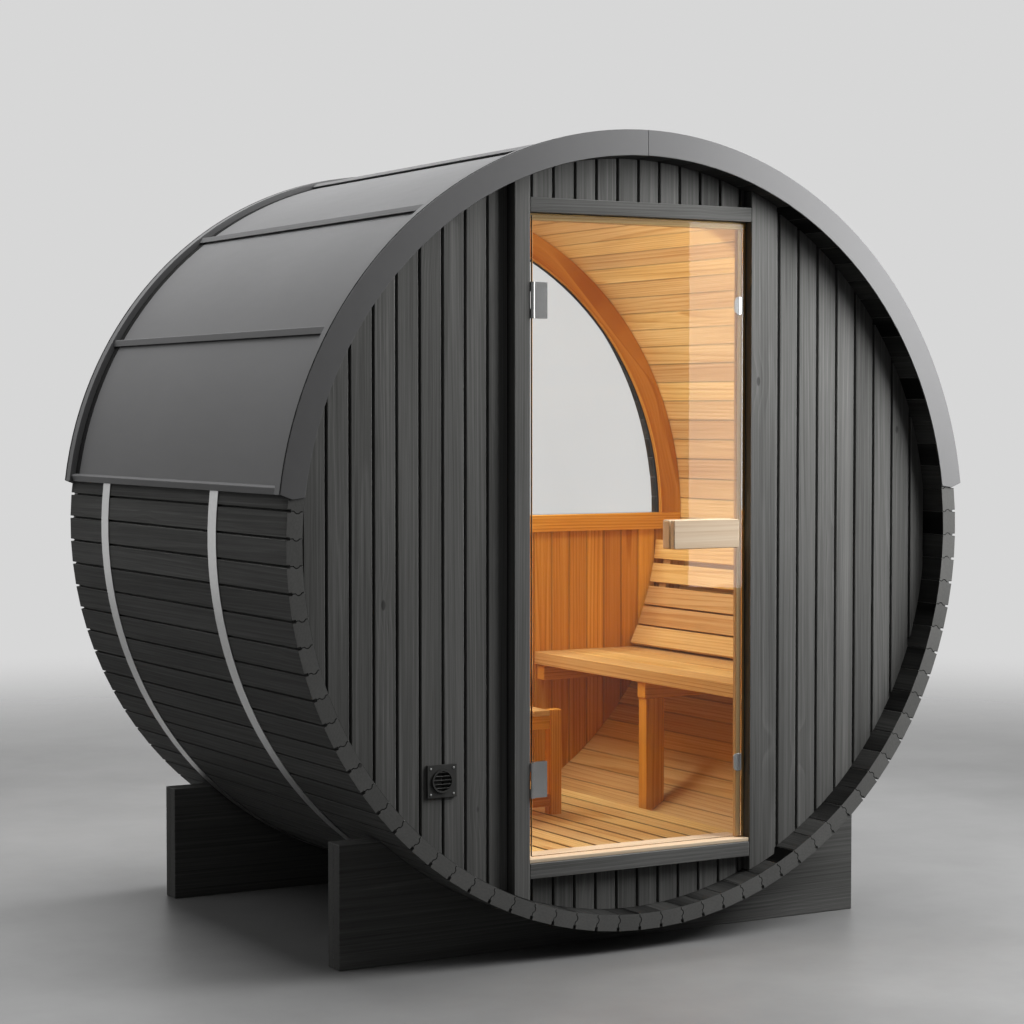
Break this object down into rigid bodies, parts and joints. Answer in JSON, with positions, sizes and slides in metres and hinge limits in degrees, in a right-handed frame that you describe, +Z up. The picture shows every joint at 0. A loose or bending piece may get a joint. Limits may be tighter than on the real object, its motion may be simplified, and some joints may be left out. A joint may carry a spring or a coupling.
{
  "type": "outdoor barrel sauna",
  "caption": "Outdoor barrel sauna: round stave barrel on cradles with a lapped metal roof, hinged glass door, half-moon rear window, slatted floor, bench and stool.",
  "frame": {"origin": "on the ground below the middle of the barrel", "axes": "+Z up, the front with the door faces -Y, the barrel's axis runs along Y, +X is to the right of someone facing the door"},
  "size_m": [1.979, 1.4268, 2.0236],
  "materials": {
    "charcoal_wood": "dark grey stain, matt",
    "cedar": "planed, bare",
    "pale_wood": "planed, bare",
    "roof_metal": "satin grey paint",
    "steel": "brushed",
    "chrome": "polished",
    "glass": "clear",
    "vent_plastic": "fine matt",
    "gasket": "matt"
  },
  "bodies": {
    "building": {"staves_top": "charcoal_wood", "staves_left": "charcoal_wood", "staves_bottom": "charcoal_wood", "staves_right": "charcoal_wood", "front_cradle": "charcoal_wood", "rear_cradle": "charcoal_wood", "steel_bands": "steel", "front_wall_left": "charcoal_wood", "front_wall_right": "charcoal_wood", "front_wall_over_door": "charcoal_wood", "front_wall_under_door": "charcoal_wood", "door_post_left": "charcoal_wood", "door_post_right": "charcoal_wood", "door_header": "charcoal_wood", "door_sill": "charcoal_wood", "door_threshold": "pale_wood", "door_stops": "cedar", "door_catches": "chrome", "hinge_leaves": "steel", "vent_plate": "vent_plastic", "vent_grille": "vent_plastic", "rear_wall": "charcoal_wood", "rear_rail": "cedar", "window_glass": "glass", "window_arch_inner": "cedar", "window_arch_outer": "charcoal_wood", "window_gasket": "gasket", "floor_joists": "cedar", "floor_slats": "cedar", "bench_seat": "cedar", "bench_bearers": "cedar", "bench_leg": "cedar", "backrest_slats": "cedar", "backrest_battens": "cedar", "stool_frame": "cedar", "stool_slats": "cedar", "roof_left": "roof_metal", "roof_crown": "roof_metal", "roof_right": "roof_metal", "front_trim": "roof_metal", "rear_trim": "roof_metal"},
    "door": {"door_glass": "glass", "door_hinges": "steel", "handle_outer": "pale_wood", "handle_inner": "pale_wood"}
  },
  "joints": [
    {"name": "door_hinge", "type": "hinge", "parent": "building", "child": "door", "pos_m": [-0.299, -0.664, 1.027], "axis": [0, 0, -1], "range_deg": [0, 105]}
  ]
}
